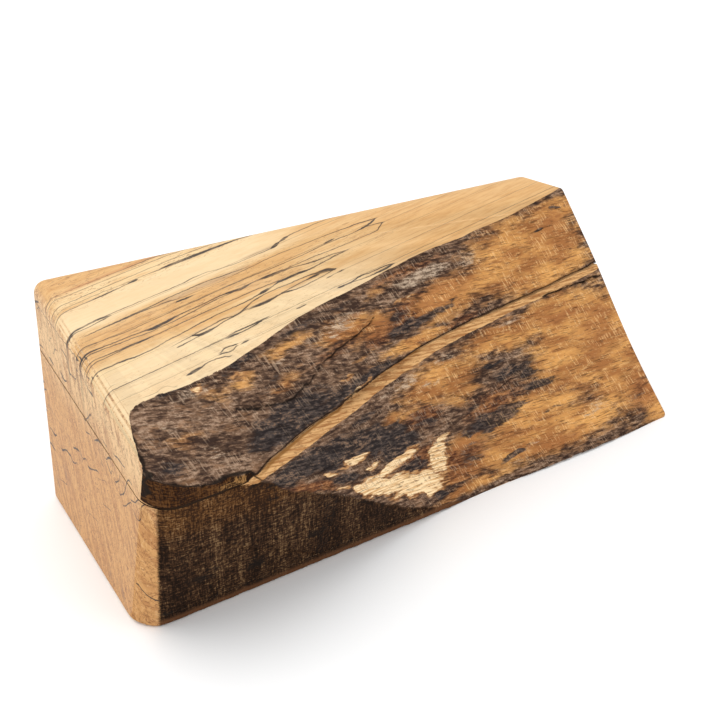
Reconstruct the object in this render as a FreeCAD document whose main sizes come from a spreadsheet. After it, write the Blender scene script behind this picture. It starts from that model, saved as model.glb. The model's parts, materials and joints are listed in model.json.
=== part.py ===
import FreeCAD, Part
import math
import os
import Sketcher

# Free-form bandsawn puzzle box made from one live-edge billet.
# The billet is split by one nearly level saw cut into a lid and a base. The base is sawn through, its
# bottom slice is glued back, and the core becomes two lift-out trays, two covers and a hollow locking key.
# Frame: +X along the billet, -Y towards the live edge, +Z up, origin under the middle of the outer box.
# Block coordinates used below: u runs along the billet from its square end, v from the back to the front.

Vector = FreeCAD.Vector
document = FreeCAD.newDocument("puzzle_box")

# ---------------------------------------------------------------------------------------------------
# Driving dimensions, in millimetres and degrees
# ---------------------------------------------------------------------------------------------------
sheet = document.addObject("Spreadsheet::Sheet", "sizes")
SIZES = [
    ("origin_u", 126.17), ("origin_v", 60.14),
    ("height", 97.0), ("back_length", 209.0), ("right_end_slope", 0.702), ("plan_depth", 150.0),
    ("top_tilt", 5.9), ("kerf_level", 64.6), ("kerf_width", 0.6), ("kerf_fall", 0.014),
    ("kerf_rise", 0.034),
    ("sawn_start_v", 98.0), ("sawn_yaw", 7.6), ("sawn_lean", 17.4), ("offcut_size", 320.0),
    ("front_corner_radius", 11.0), ("back_corner_radius", 4.5), ("top_left_radius", 5.0),
    ("eased_radius", 1.8),
    ("panel_thick", 6.0), ("felt_thick", 1.0), ("layer_gap", 0.3), ("kerf_side_gap", 0.6),
    ("floor_thick", 4.0), ("tray_top", 45.0), ("cover_thick", 8.0),
    ("key_wall_thick", 5.0), ("key_flange_thick", 3.9), ("key_flange_reach", 4.0),
    ("stopper_depth", 8.0), ("stopper_gap", 0.4), ("notch_u", 101.0), ("notch_v", 37.5),
    ("notch_radius", 4.5), ("notch_depth", 3.0), ("key_lining_gap", 0.1), ("cavity_lining_gap", 0.3),
    ("locator_drop", 4.3), ("locator_blank", 12.0), ("locator_gap", 0.9), ("lid_lining_margin", 1.5),
    ("lining_thick", 0.8), ("sleeve_short", 2.0), ("finger_radius", 8.0),
    ("shim_u", 146.0), ("shim_width", 1.0), ("shim_depth", 10.0), ("shim_overrun", 5.0),
]
for row, (alias, value) in enumerate(SIZES, start=1):
    sheet.set("A%d" % row, alias)
    sheet.set("B%d" % row, "%g" % value)
    sheet.setAlias("B%d" % row, alias)
document.recompute()


def size(alias):
    return float(sheet.get(alias))


def place(u, v, z=0.0):
    return Vector(u - size("origin_u"), size("origin_v") - v, z)


# Heights of the stack inside the base, each worked out from the layer below it.
LAYERS = [
    ("core_bottom", "=panel_thick + felt_thick + layer_gap"),
    ("wall_bottom", "=core_bottom + floor_thick"),
    ("tray_wall_height", "=tray_top - wall_bottom"),
    ("cover_bottom", "=tray_top + layer_gap"),
    ("cover_top", "=cover_bottom + cover_thick"),
    ("flange_bottom", "=cover_top + layer_gap"),
    ("flange_top", "=flange_bottom + key_flange_thick"),
    ("key_stem_height", "=flange_bottom - wall_bottom"),
    ("stopper_bottom", "=flange_top - stopper_depth"),
    ("kerf_corner", "=kerf_level + offcut_size / 2 * (kerf_fall - kerf_rise)"),
    ("kerf_underside", "=kerf_corner - kerf_width / 2"),
    ("kerf_upper_side", "=kerf_corner + kerf_width / 2"),
    ("locator_bottom", "=kerf_level - locator_drop"),
    ("lid_lining_bottom", "=locator_bottom - lining_thick"),
    ("sleeve_height", "=tray_wall_height - felt_thick - sleeve_short"),
    ("sleeve_bottom", "=wall_bottom + felt_thick"),
]
for row, (alias, formula) in enumerate(LAYERS, start=len(SIZES) + 2):
    sheet.set("A%d" % row, alias)
    sheet.set("B%d" % row, formula)
    sheet.setAlias("B%d" % row, alias)
document.recompute()

# ---------------------------------------------------------------------------------------------------
# The billet: planed faces, the leaning sawn face and the live edge
# ---------------------------------------------------------------------------------------------------


def plan_sketch():
    """Plan of the planed billet: square left end, straight back, right end cut on the skew."""
    sketch = document.addObject("Sketcher::SketchObject", "billet_plan")
    depth = size("plan_depth")
    corners = [(0, 0), (size("back_length"), 0),
               (size("back_length") + depth * size("right_end_slope"), depth), (0, depth)]
    points = [place(u, v) for u, v in corners]
    for index in range(4):
        sketch.addGeometry(Part.LineSegment(points[index], points[(index + 1) % 4]), False)
    for index in range(4):
        sketch.addConstraint(Sketcher.Constraint("Coincident", index, 2, (index + 1) % 4, 1))
    sketch.addConstraint(Sketcher.Constraint("Horizontal", 0))
    sketch.addConstraint(Sketcher.Constraint("Horizontal", 2))
    sketch.addConstraint(Sketcher.Constraint("Vertical", 3))
    bound = [
        ("back_edge", Sketcher.Constraint("DistanceX", 0, 1, 0, 2, size("back_length")),
         "sizes.back_length"),
        ("front_edge", Sketcher.Constraint("DistanceX", 2, 2, 2, 1, corners[2][0]),
         "sizes.back_length + sizes.plan_depth * sizes.right_end_slope"),
        ("left_edge", Sketcher.Constraint("DistanceY", 3, 1, 3, 2, depth), "sizes.plan_depth"),
        ("place_u", Sketcher.Constraint("DistanceX", 0, 1, -1, 1, size("origin_u")), "sizes.origin_u"),
        ("place_v", Sketcher.Constraint("DistanceY", -1, 1, 0, 1, size("origin_v")), "sizes.origin_v"),
    ]
    for name, constraint, expression in bound:
        number = sketch.addConstraint(constraint)
        sketch.renameConstraint(number, name)
        sketch.setExpression("Constraints." + name, expression)
    return sketch


def offcut(name, point, turn, start):
    """A large turned box to cut with; start is where it begins from the point, as shares of its size."""
    box = document.addObject("Part::Box", name)
    for side in ("Length", "Width", "Height"):
        box.setExpression(side, "sizes.offcut_size")
    box.Placement = FreeCAD.Placement(point + turn.multVec(start * size("offcut_size")), turn)
    return box


def planed_billet():
    prism = document.addObject("Part::Extrusion", "planed_prism")
    prism.Base = plan_sketch()
    prism.DirMode = "Custom"
    prism.Dir = Vector(0, 0, 1)
    prism.Solid = True
    prism.setExpression("LengthFwd", "sizes.height")

    # The offcut that leaves the flat, undercut saw face on the front.
    face_turn = FreeCAD.Rotation(Vector(0, 0, 1), size("sawn_yaw")) * \
        FreeCAD.Rotation(Vector(1, 0, 0), size("sawn_lean"))
    front = offcut("front_offcut", place(0, size("sawn_start_v")), face_turn, Vector(-0.125, -1, -0.25))
    # The offcut that lets the top fall gently from the back to the live edge.
    top_turn = FreeCAD.Rotation(Vector(1, 0, 0), size("top_tilt"))
    top = offcut("top_offcut", place(0, 0, size("height")), top_turn, Vector(-0.125, -0.75, 0))

    trimmed = document.addObject("Part::Cut", "sawn_prism")
    trimmed.Base = prism
    trimmed.Tool = front
    cut = document.addObject("Part::Cut", "planed_billet")
    cut.Base = trimmed
    cut.Tool = top
    document.recompute()
    return cut


def top_level(v):
    return size("height") - v * math.tan(math.radians(size("top_tilt")))


def edge_kind(edge):
    """Name the edge of the planed billet by where it lies."""
    start, end = edge.Vertexes[0].Point, edge.Vertexes[-1].Point
    middle = (start + end) / 2
    left = abs(middle.x - place(0, 0).x) < 1e-3
    back = abs(middle.y - place(0, 0).y) < 1e-3
    top = abs(middle.z - top_level(place(0, 0).y - middle.y)) < 1e-3
    bottom = abs(middle.z) < 1e-3
    if left and not back and not top and not bottom:
        return "front_corner_radius"
    if left and back:
        return "back_corner_radius"
    if left and top:
        return "top_left_radius"
    return "eased_radius"


def rounded(base, name, kinds):
    """Round the edges of one kind; the sizes come from the sheet."""
    fillet = document.addObject("Part::Fillet", name)
    fillet.Base = base
    fillet.Edges = [(number, size(kind), size(kind))
                    for number, edge in enumerate(base.Shape.Edges, start=1)
                    for kind in [edge_kind(edge)] if kind in kinds]
    document.recompute()
    return fillet


# Levels at which the live edge is set out, and stations along the billet: u, then v at each level.
EDGE_LEVELS = (0, 30, 64.5, 80, 98)
LIVE_EDGE = [
    (-8, 170, 160, 140, 119, 61),
    (20, 148, 140, 127, 101, 71.5),
    (45, 133, 121, 107.3, 89.5, 69.5),
    (75, 113, 103.4, 91.1, 75.3, 57.5),
    (105, 93.5, 85, 74.9, 62.5, 48.5),
    (140, 79, 69, 58.8, 49.5, 38.5),
    (185, 73.5, 59, 45.9, 37.8, 28),
    (225, 68, 51, 34, 25, 14),
    (262, 62, 44, 24.5, 15, 5),
]
OVERRUN = 4.0


def live_edge_section(station, order):
    """One upright cross-section of the log, with the bark line as a smooth curve past both faces."""
    u, offsets = station[0], station[1:]
    rows = list(zip(EDGE_LEVELS, offsets))
    foot_slope = (rows[0][1] - rows[1][1]) / (rows[1][0] - rows[0][0])
    rows.insert(0, (-OVERRUN, offsets[0] + foot_slope * OVERRUN))
    bark = Part.BSplineCurve()
    bark.interpolate([place(u, v, level) for level, v in rows])
    back_low = place(u, -OVERRUN, rows[0][0])
    back_high = place(u, -OVERRUN, rows[-1][0])
    wire = Part.Wire([Part.LineSegment(back_low, bark.StartPoint).toShape(), bark.toShape(),
                      Part.LineSegment(bark.EndPoint, back_high).toShape(),
                      Part.LineSegment(back_high, back_low).toShape()])
    section = document.addObject("Part::Feature", "log_section_%d" % order)
    section.Shape = wire
    return section


def carved_billet():
    log = document.addObject("Part::Loft", "log_form")
    log.Sections = [live_edge_section(station, order) for order, station in enumerate(LIVE_EDGE, start=1)]
    log.Solid = True
    log.Ruled = False
    sawn = planed_billet()
    corners = rounded(sawn, "billet_corners", ("front_corner_radius",))
    corners = rounded(corners, "billet_back_corner", ("back_corner_radius",))
    corners = rounded(corners, "billet_top_left", ("top_left_radius",))
    eased = rounded(corners, "billet_eased", ("eased_radius",))
    block = document.addObject("Part::MultiCommon", "carved_billet")
    block.Shapes = [eased, log]
    document.recompute()
    return block


def above_saw_cut(name, corner_level):
    """All the room above one side of the saw cut, which falls to the right and rises to the back."""
    normal = Vector(size("kerf_fall"), -size("kerf_rise"), 1)
    turn = FreeCAD.Rotation(Vector(0, 0, 1), normal)
    room = offcut(name, Vector(), turn, Vector(-0.5, -0.5, 0))
    room.Placement.Base = Vector(-size("offcut_size") / 2, -size("offcut_size") / 2, 0)
    room.setExpression("Placement.Base.z", corner_level)
    return room


def level_slice(block, name, low, thickness):
    """A level slice of the billet; its heights are cells of the sheet."""
    zone = offcut(name + "_zone", Vector(), FreeCAD.Rotation(), Vector(-0.5, -0.5, 0))
    zone.setExpression("Placement.Base.z", low)
    zone.setExpression("Height", thickness)
    return combined("Part::Common", name, block, zone)


def combined(kind, name, base, tool):
    """A boolean of two objects, named for the piece it makes."""
    piece = document.addObject(kind, name)
    piece.Base = base
    piece.Tool = tool
    piece.Label = name
    return piece


# ---------------------------------------------------------------------------------------------------
# Saw-cut outlines inside the base
# ---------------------------------------------------------------------------------------------------


def rounded_wire(corners, radii):
    """Closed outline of straight runs joined by tangent arcs; radii is one value or one per corner."""
    points = [place(u, v) for u, v in corners]
    count = len(points)
    if not isinstance(radii, (list, tuple)):
        radii = [radii] * count
    arcs = []
    for index, point in enumerate(points):
        before = (points[index - 1] - point).normalize()
        after = (points[(index + 1) % count] - point).normalize()
        half = before.getAngle(after) / 2
        run = radii[index] / math.tan(half)
        middle = (before + after).normalize()
        crown = point + middle * (radii[index] / math.sin(half) - radii[index])
        arcs.append((point + before * run, crown, point + after * run))
    edges = []
    for index, (start, crown, end) in enumerate(arcs):
        edges.append(Part.Arc(start, crown, end).toShape())
        follow = arcs[(index + 1) % count][0]
        if end.distanceToPoint(follow) > 1e-6:
            edges.append(Part.LineSegment(end, follow).toShape())
    return Part.Wire(edges)


def inset(face, distance):
    return Part.Face(face.OuterWire.makeOffset2D(-distance))


CAVITY = [(12, 12), (62, 14), (112, 11), (162, 13.5), (204, 12), (205, 31), (182, 35), (158, 42), (124, 52),
          (92, 69), (74, 78), (44, 82), (12, 79)]
CAVITY_RADII = [10, 40, 40, 40, 8, 8, 20, 20, 24, 20, 14, 14, 12]
SEAM = [(-30, -30), (105, -30), (105, 17), (92, 30), (110, 44), (97, 58), (97, 120), (-30, 120)]
SEAM_RADII = [2, 2, 6, 6, 6, 6, 2, 2]
KEY = [(88, 24), (101, 20.5), (114, 25), (112, 37), (113, 49), (99, 54.5), (87, 50), (90, 37)]
KEY_RADII = [6, 12, 6, 12, 6, 12, 6, 12]
LEFT_HOLLOW = [(19, 19), (62, 20.5), (79, 19), (79, 38), (77, 60), (70, 71), (43, 75), (19, 72)]
LEFT_RADII = [7, 40, 6, 30, 8, 10, 12, 8]
RIGHT_HOLLOW = [(124, 18.5), (162, 20), (197.5, 19), (198, 26), (180, 28.5), (156, 35), (124, 43)]
RIGHT_RADII = [5, 40, 3, 3, 16, 16, 5]
LEFT_FINGER = (48, 44)
RIGHT_FINGER = (138, 29)

cavity = Part.Face(rounded_wire(CAVITY, CAVITY_RADII))
core = inset(cavity, size("kerf_side_gap"))
key_outline = Part.Face(rounded_wire(KEY, KEY_RADII))
key_socket = inset(key_outline, -size("kerf_side_gap"))
left_side = Part.Face(rounded_wire(SEAM, SEAM_RADII))
seam_gap = inset(left_side, -size("kerf_side_gap"))
left_outline = core.common(left_side).cut(key_socket).Faces[0]
right_outline = core.cut(seam_gap).cut(key_socket).Faces[0]
left_hollow = Part.Face(rounded_wire(LEFT_HOLLOW, LEFT_RADII))
right_hollow = Part.Face(rounded_wire(RIGHT_HOLLOW, RIGHT_RADII))
key_hollow = inset(key_outline, size("key_wall_thick"))
key_flange = inset(key_outline, -size("key_flange_reach"))


def finger_hole(centre):
    circle = Part.Circle(place(*centre), Vector(0, 0, 1), size("finger_radius"))
    return Part.Face(Part.Wire(circle.toShape()))


def sketch_curves(face):
    """The face's boundary as trimmed lines, arcs and circles that a sketch can hold."""
    curves = []
    for wire in face.Wires:
        for edge in wire.Edges:
            low, high = edge.ParameterRange
            start, middle, end = (edge.valueAt(low + (high - low) * part) for part in (0, 0.5, 1))
            if edge.Curve.TypeId == "Part::GeomLine":
                curves.append(Part.LineSegment(start, end))
            elif start.distanceToPoint(end) < 1e-6:
                curves.append(Part.Circle(edge.Curve.Center, Vector(0, 0, 1), edge.Curve.Radius))
            else:
                curves.append(Part.Arc(start, middle, end))
    return curves


def outline_sketch(body, name, face, level=None):
    sketch = body.newObject("Sketcher::SketchObject", name)
    plane = [item for item in body.Origin.OriginFeatures if item.Role == "XY_Plane"][0]
    sketch.AttachmentSupport = [(plane, "")]
    sketch.MapMode = "FlatFace"
    if level:
        sketch.setExpression("AttachmentOffset.Base.z", level)
    sketch.addGeometry(sketch_curves(face), False)
    return sketch


def sawn_piece(label, face, low, thickness):
    """A piece sawn to an upright outline: one sketch, one pad, set at its height by the sheet."""
    body = document.addObject("PartDesign::Body", label)
    body.Label = label
    body.setExpression("Placement.Base.z", low)
    pad = body.newObject("PartDesign::Pad", label + "_pad")
    pad.Profile = outline_sketch(body, label + "_outline", face)
    pad.setExpression("Length", thickness)
    body.Tip = pad
    return body


def ring(outer, hollow):
    return outer.cut(hollow).Faces[0]


# ---------------------------------------------------------------------------------------------------
# The separate pieces
# ---------------------------------------------------------------------------------------------------
pieces = []
billet = carved_billet()

# Lid: the wood above the saw cut, the plug glued under it that drops into the base, and its suede.
above_cut = above_saw_cut("above_cut", "sizes.kerf_upper_side")
pieces.append(combined("Part::Common", "lid_slab", billet, above_cut))
locator_outline = inset(cavity, size("locator_gap"))
locator_blank = sawn_piece("locator_blank", locator_outline, "sizes.locator_bottom", "sizes.locator_blank")
pieces.append(combined("Part::Cut", "lid_locator", locator_blank, above_cut))
pieces.append(sawn_piece("lid_lining", inset(locator_outline, size("lid_lining_margin")),
                         "sizes.lid_lining_bottom", "sizes.lining_thick"))

# Base: the bottom slice, glued back under the ring that the core was sawn out of.
above_base = above_saw_cut("above_base", "sizes.kerf_underside")
base_block = combined("Part::Cut", "base_block", billet, above_base)
pieces.append(level_slice(base_block, "bottom_panel", "0", "sizes.panel_thick"))
ring_blank = level_slice(base_block, "base_ring_blank", "sizes.panel_thick", "sizes.height")
cavity_core = sawn_piece("cavity_core", cavity, "sizes.panel_thick", "sizes.height")
hollow_ring = combined("Part::Cut", "hollow_ring", ring_blank, cavity_core)
shim_slot = document.addObject("Part::Box", "shim_slot")
shim_slot.Placement = FreeCAD.Placement(place(size("shim_u"), size("shim_depth") + size("shim_overrun")),
                                        FreeCAD.Rotation())
shim_slot.setExpression("Length", "sizes.shim_width")
shim_slot.setExpression("Width", "sizes.shim_depth + 2 * sizes.shim_overrun")
shim_slot.setExpression("Height", "sizes.height")
pieces.append(combined("Part::Cut", "base_shell", hollow_ring, shim_slot))

# The strip glued into the saw's way in, flush with the back and with the saw cut.
shim_blank = document.addObject("Part::Box", "shim_blank")
shim_blank.Placement = FreeCAD.Placement(place(size("shim_u"), size("shim_depth")), FreeCAD.Rotation())
shim_blank.setExpression("Placement.Base.z", "sizes.panel_thick")
shim_blank.setExpression("Length", "sizes.shim_width")
shim_blank.setExpression("Width", "sizes.shim_depth")
shim_blank.setExpression("Height", "sizes.height")
pieces.append(combined("Part::Cut", "kerf_shim", shim_blank, above_base))
pieces.append(sawn_piece("cavity_lining", inset(cavity, size("cavity_lining_gap")), "sizes.panel_thick",
                         "sizes.felt_thick"))

# Trays: a sawn wall, the floor glued under it, and suede on the floor and round the wall.
for side, outline, hollow in (("left", left_outline, left_hollow), ("right", right_outline, right_hollow)):
    name = side + "_tray_"
    pieces.append(sawn_piece(name + "wall", ring(outline, hollow), "sizes.wall_bottom",
                             "sizes.tray_wall_height"))
    pieces.append(sawn_piece(name + "floor", outline, "sizes.core_bottom", "sizes.floor_thick"))
    pieces.append(sawn_piece(name + "floor_lining", hollow, "sizes.wall_bottom", "sizes.felt_thick"))
    sleeve = ring(hollow, inset(hollow, size("lining_thick")))
    pieces.append(sawn_piece(name + "wall_lining", sleeve, "sizes.sleeve_bottom", "sizes.sleeve_height"))

# Covers: they lie on the trays and wrap round the key, each with a finger hole to lift it by.
for side, outline, centre in (("left", left_outline, LEFT_FINGER), ("right", right_outline, RIGHT_FINGER)):
    pieces.append(sawn_piece(side + "_cover", ring(outline, finger_hole(centre)), "sizes.cover_bottom",
                             "sizes.cover_thick"))

# Key: a hollow post between the trays whose flange holds both covers down.
key_post = sawn_piece("key_post", ring(key_outline, key_hollow), "sizes.wall_bottom",
                      "sizes.key_stem_height")
flange = key_post.newObject("PartDesign::Pad", "key_flange_pad")
flange.Profile = outline_sketch(key_post, "key_flange_outline", ring(key_flange, key_hollow),
                                "sizes.key_stem_height")
flange.setExpression("Length", "sizes.key_flange_thick")
key_post.Tip = flange
pieces.append(key_post)
pieces.append(sawn_piece("key_floor", key_outline, "sizes.core_bottom", "sizes.floor_thick"))
pieces.append(sawn_piece("key_lining", inset(key_hollow, size("key_lining_gap")), "sizes.wall_bottom",
                         "sizes.felt_thick"))
stopper = sawn_piece("key_stopper", inset(key_hollow, size("stopper_gap")), "sizes.stopper_bottom",
                     "sizes.stopper_depth")
notch = stopper.newObject("PartDesign::Pocket", "stopper_notch")
notch_circle = Part.Circle(place(size("notch_u"), size("notch_v")), Vector(0, 0, 1), size("notch_radius"))
notch_face = Part.Face(Part.Wire(notch_circle.toShape()))
notch.Profile = outline_sketch(stopper, "stopper_notch_outline", notch_face, "sizes.stopper_depth")
notch.setExpression("Length", "sizes.notch_depth")
stopper.Tip = notch
pieces.append(stopper)

# ---------------------------------------------------------------------------------------------------
# Checks and export
# ---------------------------------------------------------------------------------------------------
document.recompute()
for item in document.Objects:
    if "Invalid" in item.State or "Error" in item.State:
        raise RuntimeError("%s failed to rebuild: %s" % (item.Label, item.State))

os.makedirs("parts", exist_ok=True)
for piece in pieces:
    shape = piece.Shape
    if shape.isNull() or not shape.isValid() or len(shape.Solids) != 1:
        raise RuntimeError("%s is not one valid solid" % piece.Label)
outer = Part.makeCompound([piece.Shape for piece in pieces]).BoundBox
print("outer box X %.3f %.3f Y %.3f %.3f Z %.3f %.3f" % (outer.XMin, outer.XMax, outer.YMin, outer.YMax,
                                                          outer.ZMin, outer.ZMax))
for piece in pieces:
    piece.Shape.exportStep("parts/%s.step" % piece.Label)
    print("%-24s %9.0f mm3" % (piece.Label, piece.Shape.Volume))
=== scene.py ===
import json
import math

import bpy
import bmesh
import numpy as np
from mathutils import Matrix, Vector, noise


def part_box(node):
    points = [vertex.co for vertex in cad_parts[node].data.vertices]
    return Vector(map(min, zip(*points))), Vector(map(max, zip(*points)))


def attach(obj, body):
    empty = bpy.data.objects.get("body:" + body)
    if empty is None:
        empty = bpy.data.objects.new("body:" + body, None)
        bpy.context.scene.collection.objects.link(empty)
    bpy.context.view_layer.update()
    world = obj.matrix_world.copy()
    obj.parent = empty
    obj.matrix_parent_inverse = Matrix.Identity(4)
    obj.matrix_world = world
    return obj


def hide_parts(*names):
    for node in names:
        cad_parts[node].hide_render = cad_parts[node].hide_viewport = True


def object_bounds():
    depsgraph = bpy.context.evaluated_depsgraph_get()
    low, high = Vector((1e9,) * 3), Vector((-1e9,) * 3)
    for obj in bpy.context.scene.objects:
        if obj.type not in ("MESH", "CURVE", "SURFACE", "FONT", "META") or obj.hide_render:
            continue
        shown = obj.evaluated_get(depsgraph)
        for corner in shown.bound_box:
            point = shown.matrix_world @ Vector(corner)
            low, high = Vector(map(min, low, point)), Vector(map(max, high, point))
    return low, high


# Free-form puzzle box sawn from one live-edge billet of spalted wood.
# Block coordinates, in millimetres, are used for everything that is set out on the wood:
# u runs along the billet from its square end, v from the back to the live edge, z up from the bottom.

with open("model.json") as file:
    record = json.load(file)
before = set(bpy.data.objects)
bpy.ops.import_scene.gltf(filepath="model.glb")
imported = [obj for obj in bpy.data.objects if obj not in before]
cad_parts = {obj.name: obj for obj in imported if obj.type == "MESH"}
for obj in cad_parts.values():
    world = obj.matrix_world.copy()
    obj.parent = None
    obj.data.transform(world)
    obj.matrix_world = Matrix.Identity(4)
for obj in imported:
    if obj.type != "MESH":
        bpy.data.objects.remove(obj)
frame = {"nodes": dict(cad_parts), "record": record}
cad_low, cad_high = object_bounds()

MM = 0.001
SQUARE_END = cad_low.x
BACK = cad_high.y
TOP_AT_BACK = cad_high.z / MM
# The grain inside the billet runs a little askew; on the live edge it falls at first and then levels out.
GRAIN_SKEW = 0.28
ARC_SLOPE = 0.5
BARK_FALL = 0.17
BARK_BEND = 0.0004
# The saw cut that parts the lid from the base, and its fall along u and v.
HALF_CUT = 0.3
KERF_AT_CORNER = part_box("base_shell")[1].z / MM + HALF_CUT
KERF_FALL = 0.014
KERF_RISE = 0.034
# The skewed right end: where it meets the back, and how far it runs out for each millimetre of v.
RIGHT_END = 209.0
RIGHT_SLOPE = 0.702
# How far the saw's marks on the undercut face lean from upright.
SAW_LEAN = 0.16


def kerf(u, v):
    """Height of the middle of the saw cut; works on numbers, arrays and shader values."""
    return KERF_AT_CORNER - u * KERF_FALL - v * KERF_RISE


def arc_of(u, v, z):
    """Distance round the log, constant along the grain: it falls at the square end and levels out."""
    return z - v * ARC_SLOPE + u * (BARK_FALL - u * BARK_BEND)


def at(u, v, z):
    """A point in the row frame, in metres, from block coordinates."""
    return Vector((SQUARE_END + u * MM, BACK - v * MM, z * MM))


# =====================================================================================================
# Shader maths
# =====================================================================================================


class Value:
    """A socket of a material, wrapped so that shader maths reads as ordinary sums."""

    def __init__(self, finish, socket):
        self.finish = finish
        self.socket = socket

    def __add__(self, other):
        return self.finish.maths("ADD", self, other)

    def __radd__(self, other):
        return self.finish.maths("ADD", other, self)

    def __sub__(self, other):
        return self.finish.maths("SUBTRACT", self, other)

    def __rsub__(self, other):
        return self.finish.maths("SUBTRACT", other, self)

    def __mul__(self, other):
        return self.finish.maths("MULTIPLY", self, other)

    def __rmul__(self, other):
        return self.finish.maths("MULTIPLY", other, self)

    def __truediv__(self, other):
        return self.finish.maths("DIVIDE", self, other)

    def __rtruediv__(self, other):
        return self.finish.maths("DIVIDE", other, self)

    def __abs__(self):
        return self.finish.maths("ABSOLUTE", self)

    def clamp(self):
        return self.finish.maths("ADD", self, 0.0, clamp=True)


class Finish:
    """One material being put together, with the block coordinates of each point at hand."""

    def __init__(self, name):
        self.material = bpy.data.materials.new(name)
        self.material.use_nodes = True
        self.tree = self.material.node_tree
        self.shader = self.tree.nodes["Principled BSDF"]
        self.place = self.node("ShaderNodeTexCoord", output="Object")
        x, y, z = (self.node("ShaderNodeSeparateXYZ", {}, {0: self.place}, axis) for axis in range(3))
        self.u = (x - SQUARE_END) / MM
        self.v = (BACK - y) / MM
        self.z = z / MM
        self.w = self.v + self.u * GRAIN_SKEW
        self.arc = arc_of(self.u, self.v, self.z)
        self.above_kerf = self.z - kerf(self.u, self.v)

    def node(self, kind, settings=None, values=None, output=0):
        """Any node: its settings first, then the values or links of its sockets."""
        made = self.tree.nodes.new(kind)
        for name, setting in (settings or {}).items():
            if name == "stops":
                self._fill_ramp(made.color_ramp, setting)
            elif name == "curve":
                self._fill_curve(made.mapping, setting)
            else:
                setattr(made, name, setting)
        for name, value in (values or {}).items():
            if isinstance(value, Value):
                self.tree.links.new(value.socket, made.inputs[name])
            else:
                made.inputs[name].default_value = value
        return Value(self, made.outputs[output])

    @staticmethod
    def _fill_ramp(ramp, stops):
        while len(ramp.elements) < len(stops):
            ramp.elements.new(0.5)
        for element, (position, colour) in zip(ramp.elements, stops):
            element.position = position
            element.color = (*colour, 1.0)

    @staticmethod
    def _fill_curve(mapping, points):
        curve = mapping.curves[0]
        while len(curve.points) < len(points):
            curve.points.new(0.5, 0.5)
        for point, (x, y) in zip(curve.points, points):
            point.location = (x, y)
            point.handle_type = "AUTO_CLAMPED"
        mapping.extend = "HORIZONTAL"
        mapping.update()

    def maths(self, operation, first, second=None, clamp=False):
        values = {0: first} if second is None else {0: first, 1: second}
        return self.node("ShaderNodeMath", {"operation": operation, "use_clamp": clamp}, values)

    def largest(self, parts):
        total = parts[0]
        for part in parts[1:]:
            total = self.maths("MAXIMUM", total, part)
        return total

    def step(self, value, low, high):
        """0 below low, 1 above high, smooth in between; low above high turns it round."""
        turned = low > high
        ends = {1: high, 2: low, 3: 1.0, 4: 0.0} if turned else {1: low, 2: high, 3: 0.0, 4: 1.0}
        return self.node("ShaderNodeMapRange", {"interpolation_type": "SMOOTHSTEP"}, {0: value, **ends})

    def window(self, value, low, high, soft):
        return self.step(value, low - soft, low + soft) * self.step(value, high + soft, high - soft)

    def blend(self, share, first, second, way="MIX"):
        """Colour mix; each colour is three numbers or a Value."""
        full = [(*c, 1.0) if isinstance(c, tuple) else c for c in (first, second)]
        return self.node("ShaderNodeMix", {"data_type": "RGBA", "blend_type": way, "clamp_factor": True},
                         {0: share, 6: full[0], 7: full[1]}, 2)

    def vector(self, x, y, z):
        return self.node("ShaderNodeCombineXYZ", {}, {0: x, 1: y, 2: z})

    def noise(self, vector, detail=2.0, rough=0.5, distortion=0.0, scale=1.0):
        return self.node("ShaderNodeTexNoise", {}, {
            "Vector": vector, "Scale": scale, "Detail": detail, "Roughness": rough,
            "Distortion": distortion})

    def grain(self, along, across, offset=0.0, **look):
        """Noise drawn out along the grain inside the billet."""
        return self.noise(self.vector(self.u / along + offset, self.w / across,
                                      (self.z + self.u * 0.1) / across), **look)

    def bark(self, along, across, offset=0.0, **look):
        """Noise drawn out along the grain on the live edge."""
        return self.noise(self.vector(self.u / along + offset, self.arc / across, self.v / 40), **look)

    def attribute(self, name):
        return self.node("ShaderNodeAttribute", {"attribute_name": name}, {}, "Fac")

    def stroke(self, across, height, points, span, reach):
        """A drawn line: points are (along, height, half width); across and height are Values."""
        share = across / span
        path = self.node("ShaderNodeFloatCurve", {"curve": [(x / span, y / reach) for x, y, _ in points]},
                         {"Value": share})
        ends = [(max(points[0][0] - 1.5, 0.0), 0.0), (min(points[-1][0] + 1.5, span), 0.0)]
        weights = [ends[0]] + [(x, t) for x, _, t in points] + [ends[1]]
        if points[0][0] < 1.5:
            weights = weights[1:]
        thick = self.node("ShaderNodeFloatCurve", {"curve": [(x / span, t / 2) for x, t in weights]},
                          {"Value": share})
        away = abs(path * reach - height)
        return ((thick * 2.6 - away) * 3.0).clamp()

    def bump(self, height, distance, strength=1.0):
        return self.node("ShaderNodeBump", {}, {"Strength": strength, "Distance": distance * MM,
                                                "Height": height})

    def done(self, colour, rough, normal=None, specular=0.35):
        values = {"Base Color": colour, "Roughness": rough}
        if normal is not None:
            values["Normal"] = normal
        for name, value in values.items():
            if isinstance(value, Value):
                self.tree.links.new(value.socket, self.shader.inputs[name])
            else:
                self.shader.inputs[name].default_value = value
        self.shader.inputs["Specular IOR Level"].default_value = specular
        return self.material


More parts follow.
